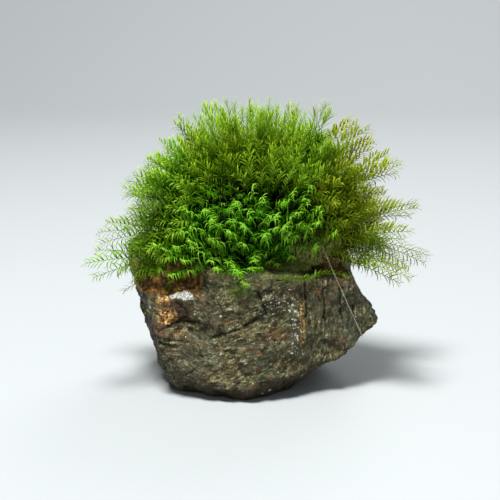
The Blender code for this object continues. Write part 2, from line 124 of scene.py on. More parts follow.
# Leaves: length, width, the degrees that each shape bends over from base to tip, and in how many bends
FEATHER_LEAF = (3.1, 0.60, (35, 65, 100), 3)
CROWN_LEAF = (3.6, 0.48, (10, 34, 66), 3)
PALM_LEAF = (3.4, 0.28, (80, 110, 135), 4)
LEAF_TAPER = (0.28, 0.62)       # its width follows half a sine wave from here, this far on
LEAF_LIFT = 12          # degrees that it rises where it leaves the stem
LEAF_KEEL = 0.12
LEAF_SPACING = {"front": 0.48, "crown": 0.60, "left": 0.62, "right": 0.60, "back": 0.60, "creeping": 0.5}
LEAF_STRAY = 0.16       # radians
LEAF_LEAN = 0.35        # how far its upper side turns from straight up to the stem's tip
LEAF_SIZES = (0.82, 1.12)
OLD_LEAVES, YOUNG_LEAVES = (0.5, 0.65), (0.85, 0.6)     # shares of the stem, and the size they shrink to
FORWARD_FROM = 0.55     # from this share of the stem on, leaves lie forward
SPREAD_SEED, SIZE_SEED, SHAPE_SEED = 7, 13, 29          # added to the piece's own
# How the leaves stand, in radians: away from the stem low down and at its tip, and round it above and below
# its broad side. Tip Crowding gathers them at the tip, and Tip Brightness keeps the pale colour there.
HABITS = ("Leaf Spread Low", "Leaf Spread Tip", "Rank Above", "Rank Below", "Tip Crowding",
          "Tip Brightness", "Bare Share")
LEAF_HABITS = {
    "front": (1.2, 1.4, 0.45, -1.5, 2.1, 3.0, 0.1),
    "crown": (0.68, 0.45, 0.4, -0.4, 1.1, 0.75, 0.1),
    "left": (1.0, 0.6, 0.5, -0.4, 1.15, 1.0, 0.1),
    "right": (0.95, 0.55, 0.4, -0.4, 1.1, 0.9, 0.1),
    "back": (1.1, 0.8, 0.8, -0.3, 1.3, 1.0, 0.15),
    "creeping": (0.8, 0.5, 0.5, -0.6, 1.0, 0.3, 0.02),
}
SHOOT_INPUTS = {
    "Geometry": ("Geometry",),
    "Collection": ("Leaf Shapes",),
    "Float": ("Leaf Spacing", "Stem Radius", "Stem Step", *HABITS),
    "Int": ("Seed",),
}
# How far a region's leaves turn to olive, how far that drifts, and over what width
OLIVE = {"front": 0.08, "crown": 0.52, "left": 0.40, "right": 0.82, "back": 0.5, "creeping": 0.35}
OLIVE_DRIFT, OLIVE_PATCH = 0.25, 11.0
# Leaf colours, from the deepest shade to the growing tips
DEEP_GREEN = ((0.0, "#123205"), (0.48, "#44900c"), (0.79, "#88dc1c"), (1.0, "#b8f64a"))
OLIVE_GREEN = ((0.0, "#263804"), (0.48, "#769004"), (0.79, "#adbe14"), (1.0, "#ccce34"))
# How much painted shade darkens a leaf towards its hanging tip, and the share of a leaf's light that comes
# through it
LEAF_TIP_PAINTED_SHADE, LIGHT_THROUGH = 0.04, 0.42

# Stone
STONE_GRAIN = 0.45
SOLE_EDGE = 1.5         # the relief fades out this far above the flat sole
BED_WAVE, BED_WAVE_WIDTH = 1.5, 9.0
# The beds slope in the middle and stand steep at the pointed end and in the tier: where, by x or z
MIDDLE_SLOPE, STEEP_SLOPE = math.radians(20), math.radians(86)
SLOPE_X, STEEP_X, STEEP_Z = (-18.0, -6.0), (11.0, 17.0), (32.0, 35.0)
# Widths of the flat chips that the split face breaks into, and how much they tilt
CHIPS = ((6.2, 1.20), (2.3, 0.80))
CHIP_BEND, CHIP_BEND_WIDTH = 0.25, 0.6      # how far their edges bend, and over what share of a chip
CHIP_PICK = 7.3         # gives each chip a slope of its own
# How the edges of the beds' leaves stand out: depth, width across and length along the beds, and a shift
BED_LEAVES = ((0.20, 1.1, 6.0, (0, 1, 3)), (0.12, 0.5, 3.0, (5, 1, 3)))
# Lumps and grit of the face: depth and width
LUMPS, LUMP_SHIFT = ((0.25, 3.4), (0.20, 0.8), (0.12, 0.5)), Vector((3, 8, 2))
SHADED_FROM = 0.35      # places lower than this under the face are darkened with painted shade
GRIT_DEPTH, GRIT_STREAKS = 0.8, 0.6     # grains that only the shading shows, and the streaks among them
EDGE_STRAY, EDGE_NOISE = 3.0, (0.55, 5.0, 0.65)         # how far an edge of raggedness 1 strays, and how
# White specks: how close their places are, how far these are jolted, the share that is filled, and widths
SPECKS_PER_MM, SPECK_JOLTS_PER_MM, SPECK_JOLT = 1.4, 2.2, 0.9
SPECKS_ANYWHERE, SPECKS_IN_FIELD, SPECKS_IN_SEAM = 0.006, 0.26, 0.50
SPECK_WIDTHS = (0.22, 0.56)
# Patterns on the stone: along the beds or not, features per mm across and along, detail, roughness
PATTERNS = {
    "streaks": (True, 1.7, 0.45, 5.0, 0.7),
    "pale_streaks": (True, 2.4, 0.22, 4.0, 0.6),
    "rusty_streaks": (True, 0.75, 0.12, 4.0, 0.6),
    "grain": (False, 1.9, 1.9, 4.0, 0.72),
    "freckles": (False, 0.6, 0.6, 5.0, 0.75),
    "rusty_grain": (False, 1.3, 1.3, 5.0, 0.7),
    "green_flecks": (True, 0.95, 0.55, 4.0, 0.65),
    "brown_flecks": (False, 0.85, 0.85, 4.0, 0.65),
    "wide": (False, 0.12, 0.12, 3.0, 0.6),
    "broad": (False, 0.30, 0.30, 5.0, 0.6),
    "blots": (False, 0.42, 0.42, 5.0, 0.7),
    "grit": (False, 2.4, 2.4, 5.0, 0.7),
    "damp": (False, 0.9, 0.9, 3.0, 0.6),
}
STREAK_SHARE = 1.2      # weight of the streaks beside the grain in the ground colour
# Patches on the stone: middle, half-widths, how ragged the edge is, and how soft
STAINS = {
    # foot: painted shadow along the stone's bottom
    "foot": ((0.0, -14.0, 1.5), (32.0, 12.0, 5.5), 2.5, 0.7),
    # Darker mottling towards the lower left
    "damp_foot": ((-19.0, -13.0, 9.0), (9.0, 9.0, 8.0), 3.0, 0.6),
    "grey_end": ((25.0, -8.0, 20.0), (8.0, 10.0, 8.0), 2.0, 0.8),
    "tier": ((12.0, -3.0, 39.0), (19.0, 6.0, 7.2), 1.0, 0.15),
    "tier_end": ((22.5, -4.0, 33.8), (5.0, 5.0, 3.8), 1.4, 0.5),
    # Painted shade in the crevice under the tier
    "tier_foot": ((20.0, -7.0, 32.3), (7.0, 4.0, 1.2), 0.6, 0.4),
    "broken_hollow": ((-24.0, -4.5, 31.0), (13.2, 7.6, 4.4), 0.9, 0.15),
    "block_shade": ((-19.4, -12.5, 23.6), (5.2, 6.0, 4.2), 1.1, 0.35),
    "block_foot": ((-24.2, -11.8, 19.0), (2.6, 5.0, 2.6), 0.9, 0.35),
    "rust": ((-22.0, -12.0, 22.3), (3.0, 5.0, 2.5), 1.2, 0.35),
    "rust_above": ((-23.2, -11.5, 26.6), (2.0, 3.5, 1.6), 0.9, 0.35),
    "brown_middle": ((7.5, -15.5, 18.5), (4.5, 6.0, 1.8), 1.6, 0.7),
    "ochre_seam": ((13.6, -13.6, 20.5), (1.5, 6.0, 9.0), 1.0, 0.4),
    "ochre_edge": ((-25.5, -9.0, 13.0), (4.0, 8.0, 4.0), 1.6, 0.6),
    "speck_seam": ((12.4, -13.8, 20.0), (2.2, 6.0, 9.0), 1.0, 0.5),
    "speck_field": ((8.0, -15.0, 26.5), (6.5, 8.0, 4.0), 2.0, 0.8),
    "quartz_ledge": ((-18.2, -12.6, 27.9), (3.6, 2.8, 0.85), 0.5, 0.10),
    "green_film": ((2.0, -12.0, 36.0), (30.0, 12.0, 8.5), 3.0, 0.8),
    "green_smear": ((-2.6, -16.0, 30.4), (4.6, 5.0, 2.2), 2.0, 0.8),
}
# Colours of the mottled parts, from their darkest grains to their palest
SCHIST_GROUND = ((0.38, "#0c0a04"), (0.44, "#322a14"), (0.495, "#6b653e"), (0.55, "#9c9768"),
                 (0.61, "#e4e2c4"))
# Darker colours for the lower left
DARK_LOWER_LEFT = ((0.37, "#100d07"), (0.50, "#3e3a26"), (0.63, "#9a9672"))
# The tier's mossy colours run far paler than the stone's, as painted light against the moss's shadow
MOSSY_TIER_PAINTED_LIGHT = ((0.38, "#1a1c0a"), (0.46, "#6f7c30"), (0.54, "#b8c05c"), (0.62, "#f4f4c0"))
BROWN_TIER = ((0.39, "#3c200e"), (0.50, "#8f6238"), (0.61, "#f0d0a0"))
SHADED_END = ((0.39, "#0b0905"), (0.50, "#29241a"), (0.60, "#645c48"))
OCHRE_FRECKLES = ((0.36, "#24160a"), (0.48, "#785030"), (0.56, "#a87c38"), (0.64, "#f6cc5c"))
RUST = ((0.42, "#2c180a"), (0.49, "#a86e2a"), (0.545, "#eab24c"), (0.61, "#fff4d0"))
QUARTZ = ((0.42, "#7c6e5c"), (0.50, "#d8d8cc"), (0.58, "#fafbf8"))
# Each coat: what it follows, the share that it covers, its colour, and where it starts and is full
COATS = (
    ("wide", 0.55, "#525e48", 0.46, 0.60),
    ("broad", 0.55, "#5a3b18", 0.52, 0.64),
    ("green_flecks", 0.50, "#46583a", 0.52, 0.60),
    ("brown_flecks", 0.55, "#6e4822", 0.53, 0.60),
    ("blots", 0.60, "#1d190e", 0.54, 0.62),
    ("rusty_streaks", 0.55, "#8a4c22", 0.58, 0.68),
    ("pale_streaks", 0.50, "#b8b488", 0.61, 0.70),
    # Painted shade on faces that look downwards
    ("underside", 0.62, "#2c1d10", -0.05, -0.45),
    ("pointed_end", 0.88, ("ground", SHADED_END), -0.55, -0.82),
    # Painted shadow darkening the stone's bottom
    ("foot", 0.55, "#2a1c10"),
    ("damp_foot", 0.75, ("ground", DARK_LOWER_LEFT)),
    ("grey_end", 0.45, "#3f463a"),
    # Painted light: the tier, in the moss's shadow, is coated far paler
    ("tier", 1.0, ("ground", MOSSY_TIER_PAINTED_LIGHT)),
    ("tier_end", 0.9, ("ground", BROWN_TIER)),
    # Painted shade in the crevice under the tier
    ("tier_foot", 0.9, "#120a05"),
    ("broken_hollow", 1.0, ("freckles", OCHRE_FRECKLES)),
    ("block_shade", 0.85, "#3c2410"),
    ("block_foot", 0.70, "#5f3f28"),
    ("rust", 1.0, ("rusty_grain", RUST)),
    ("rust_above", 0.85, ("rusty_grain", RUST)),
    ("brown_middle", 0.5, "#6e4420"),
    ("ochre_edge streaks", 0.7, "#8a5c24", 0.46, 0.56),
    ("ochre_seam grain", 0.95, "#c0962c", 0.46, 0.56),
    ("specks", 0.92, "#f0f2e6"),
    ("quartz_ledge", 1.0, ("grain", QUARTZ)),
    # Painted shade: near black in the low places of the face and in the cuts of the cracks
    ("hollow", 0.75, "#0e0a05", 0.20, 0.70),
    # Painted shade: near black along the cracks
    ("crack", 0.85, "#070503", 0.38, 0.12),
    ("green_film grain", 0.75, "#66802e", 0.42, 0.60),
    ("green_smear", 0.55, "#507c18"),
)
CRACKED_FACE = -3.0     # cracks are only in front of this
CRACK_FAR = 1.5         # a crack changes nothing further away
CRACK_LEAST, CRACK_MORE, CRACK_RAGGED = 0.6, 0.8, 0.9       # how its width wanders, and how often
# Cracks on the front, as x and z of their corners, with depth and half-width
CRACKS = (
    (((1.8, 30.1), (3.4, 27.0), (4.4, 24.2), (1.3, 22.7), (-3.1, 19.9), (-7.3, 18.2), (-10.5, 17.0)),
     0.7, 0.42),
    (((14.5, 31.0), (14.7, 28.0), (15.0, 22.2)), 0.6, 0.40),
    (((19.3, 29.4), (19.6, 26.0), (19.9, 20.6)), 0.8, 0.45),
    (((24.0, 29.0), (24.1, 25.0), (24.4, 20.6)), 0.8, 0.45),
    (((27.6, 23.4), (27.9, 20.2)), 0.6, 0.40),
    (((-24.6, 18.0), (-22.4, 19.3), (-18.4, 21.2), (-13.0, 20.8)), 0.8, 0.50),
    (((-19.8, 26.6), (-17.2, 24.6), (-16.4, 22.6), (-18.6, 21.4)), 0.6, 0.45),
    (((-26.0, 16.6), (-21.0, 16.3), (-16.5, 15.6)), 0.6, 0.34),
    (((-25.6, 14.8), (-20.0, 14.4)), 0.5, 0.30),
)

# Stage, in metres: a floor that curves up into a wall, its lamps, and the camera
FLOOR_FRONT, FLOOR_BACK, FLOOR_SIDE, CURVE_RADIUS, WALL_TOP = -1.5, 0.5, 1.6, 0.35, 1.6
LAMPS = (("key", (-0.12, -0.18, 0.78), 0.22, 13.0), ("rim", (0.30, 0.55, 0.60), 0.40, 2.5))
LAMP_AIM, CAMERA_AIM = Vector((0, 0, 0.03)), Vector((0, 0, 0.037))
CAMERA_PLACE, CAMERA_LENS = (0, -0.3079, 0.1195), 85


def linear(value):
    """A colour written as sRGB hex, as the shaders want it."""
    parts = [int(value[at:at + 2], 16) / 255 for at in (1, 3, 5)]
    return (*[part / 12.92 if part <= 0.04045 else ((part + 0.055) / 1.055) ** 2.4 for part in parts], 1.0)


def node(tree, kind, inputs=(), stops=(), **settings):
    """Adds a node with its properties and colour stops, and sets or links inputs, in order or by name."""
    made = tree.nodes.new(kind)
    for name, value in settings.items():
        setattr(made, name, value)
    for index, (place, shade) in enumerate(stops):
        elements = made.color_ramp.elements
        stop = elements[index] if index < 2 else elements.new(place)
        stop.position = place
        stop.color = linear(shade)
    sockets = [socket for socket in made.inputs if socket.enabled]
    if isinstance(inputs, dict):
        sockets = [next(socket for socket in sockets if socket.name == name) for name in inputs]
        inputs = inputs.values()
    for socket, value in zip(sockets, inputs):
        if isinstance(value, bpy.types.Node):
            value = next(output for output in value.outputs if output.enabled)
        if isinstance(value, bpy.types.NodeSocket):
            tree.links.new(value, socket)
        else:
            socket.default_value = value
    return made


def empty_material(name):
    """A new material with no nodes, and what adds them to it."""
    made = bpy.data.materials.new(name)
    made.use_nodes = True
    made.node_tree.nodes.clear()
    return made, partial(node, made.node_tree)


def add_piece(name, data):
    """A new object in the scene, at the origin."""
    piece = bpy.data.objects.new(name, data)
    bpy.context.scene.collection.objects.link(piece)
    return piece


def settled(obj):
    """The object's mesh with its modifiers worked in."""
    bpy.context.view_layer.update()
    graph = bpy.context.evaluated_depsgraph_get()
    mesh = bpy.data.meshes.new_from_object(obj.evaluated_get(graph))
    obj.modifiers.clear()
    return mesh


def store(mesh, **values):
    """Stores a number or a direction for each vertex of a mesh, for its material and shoots to read."""
    for name, parts in values.items():
        kind, part = ("FLOAT", "value") if len(parts) == len(mesh.vertices) else ("FLOAT_VECTOR", "vector")
        mesh.attributes.new(name, kind, "POINT").data.foreach_set(part, parts)


# Materials

def moss_leaf_material():
    """Living moss leaf: one cell thick, wet and smooth, so it shines and lets light through.

    Deep green where the shoot is old, yellow-green at its growing tip.
    """
    made, add = empty_material("moss_leaf_living_wet")
    read = {name: add("ShaderNodeAttribute", attribute_name=name).outputs["Fac"]
            for name in ("youth", "tone", "along", "stem", "olive")}
    bright = read["youth"]
    # Painted shade: along darkens each leaf towards its hanging tip, and the tone carries the painted shade
    # of the hollow and the lowest shoots
    for name, weight in (("tone", 1.0), ("along", -LEAF_TIP_PAINTED_SHADE), ("stem", -STEM_DARK)):
        bright = add("ShaderNodeMath", (read[name], weight, bright), operation="MULTIPLY_ADD")
    deep = add("ShaderNodeValToRGB", (bright,), stops=DEEP_GREEN)
    yellow = add("ShaderNodeValToRGB", (bright,), stops=OLIVE_GREEN)
    colour = add("ShaderNodeMix", (read["olive"], deep, yellow), data_type="RGBA")
    surface = add("ShaderNodeBsdfPrincipled", {
        "Base Color": colour, "Roughness": 0.55, "Specular IOR Level": 0.16})
    through = add("ShaderNodeBsdfTranslucent", (colour,))
    both = add("ShaderNodeMixShader", (LIGHT_THROUGH, surface, through))
    add("ShaderNodeOutputMaterial", (both,))
    return made


def moss_mat_material():
    """Old stems and dead leaves packed in the middle of the clump: matt, near black-green, partly their own
    dark colour and partly painted shade of the clump's depths.
    """
    made, add = empty_material("moss_mat_old_stems")
    place = add("ShaderNodeTexCoord").outputs["Object"]
    grain = add("ShaderNodeTexNoise", {"Vector": place, "Scale": 900.0, "Detail": 3.0})
    # Near black: painted shade of the clump's depths over the old stems' own dark colour
    colour = add("ShaderNodeValToRGB", (grain,), stops=((0.35, "#070d03"), (0.65, "#1c2a0a")))
    surface = add("ShaderNodeBsdfPrincipled", {
        "Base Color": colour, "Roughness": 0.8, "Specular IOR Level": 0.1})
    add("ShaderNodeOutputMaterial", (surface,))
    return made


def thread_material():
    """Nylon monofilament: clear and drawn smooth, so that it shows mostly by its glint.

    It is scuffed dull in places, and has a thin green film in others.
    """
    made, add = empty_material("nylon_thread_clear")
    place = add("ShaderNodeTexCoord").outputs["Object"]
    film = add("ShaderNodeTexNoise", {"Vector": place, "Scale": 160.0, "Detail": 3.0})
    colour = add("ShaderNodeValToRGB", (film,), stops=((0.52, "#f2ead8"), (0.66, "#c2c88e")))
    scuffs = add("ShaderNodeTexNoise", {"Vector": place, "Scale": 1500.0, "Detail": 3.0})
    dull = add("ShaderNodeMapRange", (scuffs, 0.40, 0.62, 0.10, 0.34))
    surface = add("ShaderNodeBsdfPrincipled", {
        "Base Color": colour, "Roughness": dull, "IOR": 1.53, "Transmission Weight": 0.75})
    add("ShaderNodeOutputMaterial", (surface,))
    return made


def stain(add, place, stray, middle, halves, ragged, soft):
    """How far a place lies inside a patch, a rounded box with a ragged, soft edge: 0 to 1."""
    ragged = EDGE_STRAY * ragged
    there = add("ShaderNodeVectorMath", (stray, (ragged,) * 3, place), operation="MULTIPLY_ADD")
    there = add("ShaderNodeVectorMath", (there, middle), operation="SUBTRACT")
    there = add("ShaderNodeVectorMath", (there, halves), operation="DIVIDE")
    squared = add("ShaderNodeVectorMath", (there, there), operation="MULTIPLY")
    away = add("ShaderNodeVectorMath", (squared,), operation="LENGTH").outputs["Value"]
    return add("ShaderNodeMapRange", (away, 1.0, (1.0 - soft) ** 2))


def quartz_specks(add, place, field, seam):
    """White quartz grains that catch the light: a few anywhere, many in the field and along the seam."""
    jolt = add("ShaderNodeTexNoise", {"Vector": place, "Scale": SPECK_JOLTS_PER_MM}).outputs["Color"]
    jolted = add("ShaderNodeVectorMath", (jolt, (SPECK_JOLT,) * 3, place), operation="MULTIPLY_ADD")
    grains = add("ShaderNodeTexVoronoi", {"Vector": jolted, "Scale": SPECKS_PER_MM}).outputs
    chance = add("ShaderNodeSeparateXYZ", (grains["Color"],)).outputs
    common = SPECKS_ANYWHERE
    for patch, share in ((field, SPECKS_IN_FIELD), (seam, SPECKS_IN_SEAM)):
        common = add("ShaderNodeMath", (patch, share, common), operation="MULTIPLY_ADD")
    lucky = add("ShaderNodeMath", (chance["X"], common), operation="LESS_THAN")
    width = add("ShaderNodeMapRange", (chance["Y"], 0.0, 1.0, *SPECK_WIDTHS))
    speck = add("ShaderNodeMath", (grains["Distance"], width), operation="LESS_THAN")
    return add("ShaderNodeMath", (speck, lucky), operation="MULTIPLY")


def schist_material():
    """Mica schist, split along and across its beds, damp: a fine salt-and-pepper of grey-green and brown.

    The beds give thin streaks, iron the rusty patches, quartz the white ledge and specks. Its grains are a
    tenth to half a millimetre wide, drawn at half a millimetre so that they show.
    """
    made, add = empty_material("mica_schist_split_damp")
    corner = add("ShaderNodeTexCoord").outputs
    place = add("ShaderNodeVectorMath", (corner["Object"], 1 / MM), operation="SCALE")
    facing = add("ShaderNodeSeparateXYZ", (corner["Normal"],)).outputs
    beds = add("ShaderNodeAttribute", attribute_name="beds").outputs["Vector"]
    look = {"underside": facing["Z"], "pointed_end": facing["X"]}
    for name in ("hollow", "crack"):
        look[name] = add("ShaderNodeAttribute", attribute_name=name).outputs["Fac"]
    for name, (follows_beds, across, along, detail, rough) in PATTERNS.items():
        where = beds if follows_beds else place
        where = add("ShaderNodeVectorMath", (where, (across, along, along)), operation="MULTIPLY")
        look[name] = add("ShaderNodeTexNoise", (where, 1.0, detail, rough)).outputs["Fac"]
    stray = add("ShaderNodeTexNoise", (place, *EDGE_NOISE)).outputs["Color"]
    stray = add("ShaderNodeVectorMath", (stray, (0.5, 0.5, 0.5)), operation="SUBTRACT")
    for name, shape in STAINS.items():
        look[name] = stain(add, place, stray, *shape)
    look["specks"] = quartz_specks(add, place, look["speck_field"], look["speck_seam"])
    ground = add("ShaderNodeMath", (look["streaks"], STREAK_SHARE, look["grain"]), operation="MULTIPLY_ADD")
    look["ground"] = add("ShaderNodeMath", (ground, 1 + STREAK_SHARE), operation="DIVIDE")
    colour = add("ShaderNodeValToRGB", (look["ground"],), stops=SCHIST_GROUND)

    for follows, share, coat, *limits in COATS:
        amount, *others = [look[name] for name in follows.split()]
        for other in others:
            amount = add("ShaderNodeMath", (amount, other), operation="MULTIPLY")
        amount = add("ShaderNodeMapRange", (amount, *(limits or (0.0, 1.0)), 0.0, share))
        if isinstance(coat, str):
            over = linear(coat)
        else:
            over = add("ShaderNodeValToRGB", (look[coat[0]],), stops=coat[1])
        colour = add("ShaderNodeMix", (amount, colour, over), data_type="RGBA")

    dull = add("ShaderNodeMapRange", (look["damp"], 0.35, 0.65, 0.30, 0.62))
    grit = add("ShaderNodeMath", (look["streaks"], GRIT_STREAKS, look["grit"]), operation="MULTIPLY_ADD")
    bump = add("ShaderNodeBump", {"Height": grit, "Strength": 1.0, "Distance": GRIT_DEPTH * MM})
    surface = add("ShaderNodeBsdfPrincipled", {
        "Base Color": colour, "Roughness": dull, "Normal": bump, "Specular IOR Level": 0.28})
    add("ShaderNodeOutputMaterial", (surface,))
    return made


# Stone

def between(value, start, full):
    """How far a value has come from the start to the full mark, which may be the lower one: 0 to 1."""
    return min(1.0, max(0.0, (value - start) / (full - start)))


def bed_place(place):
    """A place seen from the beds: across them, and twice along them.

    They lie flat on the left, rise to the right in the middle, and stand steep at the pointed end and in
    the tier under the moss.
    """
    bent = place + BED_WAVE * noise.noise_vector(place / BED_WAVE_WIDTH)
    tilt = MIDDLE_SLOPE * between(bent.x, *SLOPE_X)
    steep = max(between(bent.x, *STEEP_X), between(bent.z, *STEEP_Z))
    tilt += (STEEP_SLOPE - tilt) * steep * steep * (3 - 2 * steep)
    across = bent.z * math.cos(tilt) - bent.x * math.sin(tilt)
    along = bent.z * math.sin(tilt) + bent.x * math.cos(tilt)
    return Vector((across, along, bent.y))


def nearest_crack(place):
    """How far the nearest crack is from a place on the front, and how deep it cuts there."""
    nearest, deepest = CRACK_FAR, 0.0
    if place.y > CRACKED_FACE:
        return nearest, deepest
    spot = Vector((place.x, place.z))
    for corners, depth, half in CRACKS:
        for start, end in zip(corners, corners[1:]):
            way_in = spot - Vector(start)
            run = Vector(end) - Vector(start)
            away = (way_in - run * between(way_in.dot(run), 0.0, run.length_squared)).length
            if away < CRACK_FAR:
                wander = CRACK_LEAST + CRACK_MORE * abs(noise.noise(place * CRACK_RAGGED))
                nearest = min(nearest, away / wander)
                deepest = max(deepest, depth * wander * math.exp(-(away / half) ** 2))
    return nearest, deepest


def split_relief(place, bed):
    """How far the split face stands out: flat chips, leaves of the beds, grit."""
    stand = 0.0
    for width, tilt in CHIPS:
        bend = CHIP_BEND * noise.noise_vector(place / (CHIP_BEND_WIDTH * width))
        _, cells = noise.voronoi(place / width + bend)
        slope = noise.cell_vector(cells[0] * CHIP_PICK) - Vector((0.5, 0.5, 0.5))
        stand += tilt * (place / width - cells[0]).dot(slope)
    for depth, across, along, shift in BED_LEAVES:
        stand += depth * noise.noise(Vector((bed.x / across, bed.y / along, bed.z / along)) + Vector(shift))
    for depth, width in LUMPS:
        stand += depth * noise.noise(place / width + LUMP_SHIFT)
    return stand


def stone_piece(finish):
    """A finely grained copy of the stone's solid, with chips, bed edges and cracks worked into it."""
    stone = add_piece("stone_split_face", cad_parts["stone"].data.copy())
    bm = bmesh.new()
    bm.from_mesh(stone.data)
    bmesh.ops.remove_doubles(bm, verts=bm.verts[:], dist=WELD)
    bm.to_mesh(stone.data)
    bm.free()
    grain = stone.modifiers.new("Grain", "REMESH")
    grain.mode = "VOXEL"
    grain.voxel_size = STONE_GRAIN * MM
    mesh = settled(stone)
    stone.data = mesh

    facings = [vert.normal.copy() for vert in mesh.vertices]
    beds, shaded_hollows, cracks = [], [], []
    for vert, facing in zip(mesh.vertices, facings):
        place = vert.co / MM
        bed = bed_place(place)
        away, cut = nearest_crack(place)
        stand = split_relief(place, bed)
        vert.co += facing * (stand - cut) * between(place.z, 0.0, SOLE_EDGE) * MM
        vert.co.z = max(vert.co.z, 0.0)
        beds.extend(bed)
        # How much painted shade a place gets: the cut of a crack, and how far it lies below the low mark
        shaded_hollows.append(cut + max(0.0, -stand - SHADED_FROM))
        cracks.append(away)
    store(mesh, beds=beds, hollow=shaded_hollows, crack=cracks)
    mesh.materials.clear()
    mesh.materials.append(finish)
    mesh.polygons.foreach_set("use_smooth", [True] * len(mesh.polygons))
    return stone


# Moss

def half_widths(way):
    """How far the clump reaches to the sides that a way points to."""
    return (REACH_RIGHT if way.x > 0 else REACH_LEFT, REACH_BACK if way.y > 0 else REACH_FRONT, REACH_TOP)


def reach(way):
    """How far the moss tips stand from the clump's middle along a way."""
    whole = 1 / math.sqrt(sum((part / half) ** 2 for part, half in zip(way, half_widths(way))))
    before_tier = max(0.0, -way.y) * between(way.x, *BARE_RIGHT) * between(way.z, *BARE_LOW)
    return whole * (1 - BARE_DEPTH * before_tier)


def tip_share(way):
    """The share of the full reach that a shoot's tip fills, uneven from tuft to tuft."""
    first, share = TIP_SHARES[0][0], TIP_SHARES[-1][1]
    turn = (math.degrees(math.atan2(way.z, way.x)) - first) % 360 + first
    for (start, low), (end, high) in zip(TIP_SHARES, TIP_SHARES[1:]):
        if start <= turn < end:
            share = low + (high - low) * (turn - start) / (end - start)
    share *= 1 - HOLLOW_DEPTH * hollowness(way)
    return share * (1 + TUFT_UNEVENNESS * noise.noise(way * TUFT_CLOSENESS + TUFT_SHIFT))


def hollowness(way):
    """How deep a way lies in the hollow between the crown and the bulge: 0 to 1."""
    return math.exp(-((way - HOLLOW_WAY).length / HOLLOW_WIDTH) ** 2)


def leaf_shapes(name, length, width, curls, bends):
    """Narrow keeled leaves, one for each curl: closed, base at the origin, running out along +X."""
    shapes = bpy.data.collections.new(name)
    for number, curl in enumerate(curls):
        bm = bmesh.new()
        along = bm.verts.layers.float.new("along")
        rings = []
        x = z = 0.0
        for ring in range(bends):
            t = ring / bends
            half = 0.5 * width * math.sin(math.pi * (LEAF_TAPER[0] + LEAF_TAPER[1] * t))
            lean = math.radians(LEAF_LIFT - curl * t)
            keel = z - LEAF_KEEL * (1 - 0.5 * t)
            corners = ((x, -half, z), (x, half, z), (x, 0, keel))
            corners = [bm.verts.new(Vector(corner) * MM) for corner in corners]
            for corner in corners:
                corner[along] = t
            rings.append(corners)
            step = length / bends
            x += step * math.cos(lean)
            z += step * math.sin(lean)
        tip = bm.verts.new(Vector((x, 0, z)) * MM)
        tip[along] = 1.0
        bm.faces.new(rings[0])
        sides = ((0, 1), (1, 2), (2, 0))
        for near, far in zip(rings, rings[1:]):
            for side, other in sides:
                bm.faces.new((near[side], near[other], far[other], far[side]))
        for side, other in sides:
            bm.faces.new((rings[-1][side], rings[-1][other], tip))
        bmesh.ops.recalc_face_normals(bm, faces=bm.faces[:])
        for face in bm.faces:
            face.smooth = True
        mesh = bpy.data.meshes.new(f"{name}_{number}")
        bm.to_mesh(mesh)
        bm.free()
        shapes.objects.link(bpy.data.objects.new(mesh.name, mesh))
    return shapes


def swung(add, start, towards, angle):
    """A direction turned by an angle from one direction towards another, square to it."""
    parts = []
    for way, operation in ((start, "COSINE"), (towards, "SINE")):
        share = add("ShaderNodeMath", (angle,), operation=operation)
        parts.append(add("ShaderNodeVectorMath", (way, share), operation="SCALE"))
    return add("ShaderNodeVectorMath", parts, operation="ADD")


